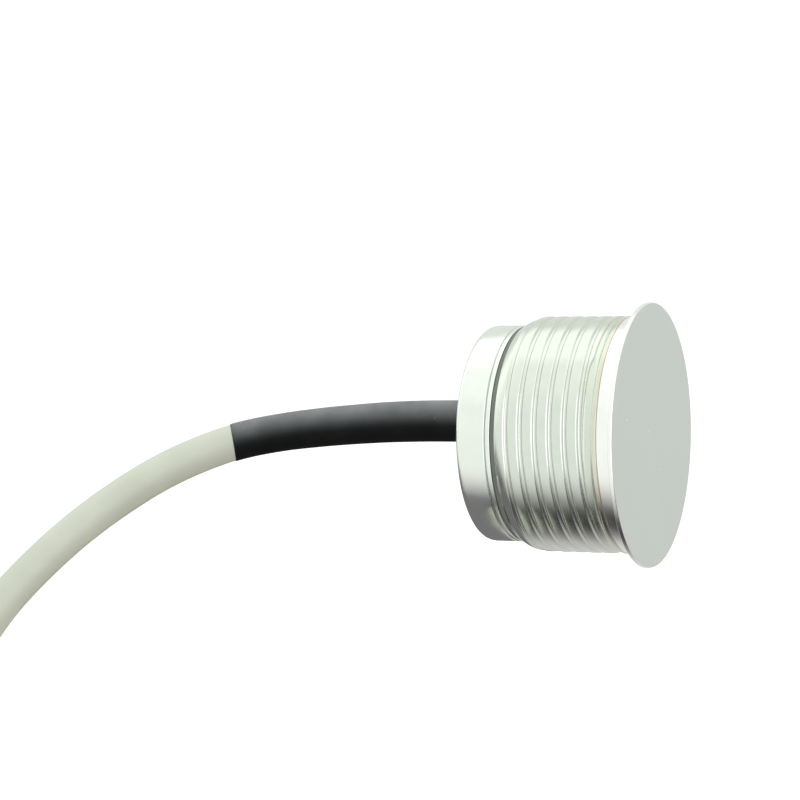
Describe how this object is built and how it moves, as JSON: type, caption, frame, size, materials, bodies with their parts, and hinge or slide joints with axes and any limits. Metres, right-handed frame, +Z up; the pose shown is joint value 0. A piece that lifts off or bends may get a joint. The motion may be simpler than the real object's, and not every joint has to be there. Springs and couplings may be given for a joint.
{
  "type": "ultrasonic distance sensor",
  "caption": "Sealed round metal ultrasonic distance probe: thin flanged sensing face, threaded barrel, smooth rear cap and a flexible signal lead with a small plug.",
  "frame": {"origin": "on the probe's axis, in the plane where the back of the flange seats on a panel", "axes": "+X along the probe's axis, out through the sensing face; +Z up; the lead leaves along -X"},
  "size_m": [0.0806, 0.0562, 0.0699],
  "materials": {
    "aluminium": "satin turned and clear anodised",
    "seal": "matt dark grey rubber",
    "ceramic": "fired ceramic with silvered faces",
    "epoxy": "cured amber epoxy",
    "silicone": "translucent soft silicone",
    "cork": "fine cork composition",
    "laminate": "green solder mask on glass laminate",
    "chip": "moulded black component bodies",
    "ferrite": "dark sintered ferrite",
    "copper": "enamelled copper winding",
    "tin": "tin-plated metal",
    "potting": "cast dark potting resin",
    "black_sleeve": "matt black shrink sleeve",
    "jacket": "soft cream-white jacket",
    "red_wire": "red core insulation",
    "black_wire": "black core insulation",
    "yellow_wire": "yellow core insulation",
    "white_wire": "white core insulation",
    "nylon": "natural nylon"
  },
  "bodies": {
    "root": {"housing": "aluminium", "rear_cap": "aluminium", "joint_seal": "seal", "bond_layer": "epoxy", "piezo_disc": "ceramic", "centring_ring": "silicone", "damping_pad": "cork", "spacer_ring": "nylon", "piezo_lead_1": "red_wire", "piezo_lead_2": "black_wire", "circuit_board": "laminate", "microcontroller": "chip", "amplifier_chip": "chip", "crystal": "tin", "drive_transistor": "chip", "resistor_1": "chip", "resistor_2": "chip", "resistor_3": "chip", "resistor_4": "chip", "capacitor_1": "ceramic", "capacitor_2": "ceramic", "capacitor_3": "tin", "transformer_core": "ferrite", "transformer_winding": "copper", "core_wire_1": "red_wire", "core_wire_2": "black_wire", "core_wire_3": "yellow_wire", "core_wire_4": "white_wire", "potting_plug": "potting", "lead_entry": "jacket", "strain_sleeve": "black_sleeve", "cable": "jacket", "cable_coil": "jacket", "cable_tail": "jacket", "jacket_end_sleeve": "black_sleeve", "tail_core_1": "red_wire", "tail_core_2": "black_wire", "tail_core_3": "yellow_wire", "tail_core_4": "white_wire", "connector_housing": "nylon", "connector_contact_1": "tin", "connector_contact_2": "tin", "connector_contact_3": "tin", "connector_contact_4": "tin", "coil_tie": "black_sleeve"}
  },
  "joints": []
}
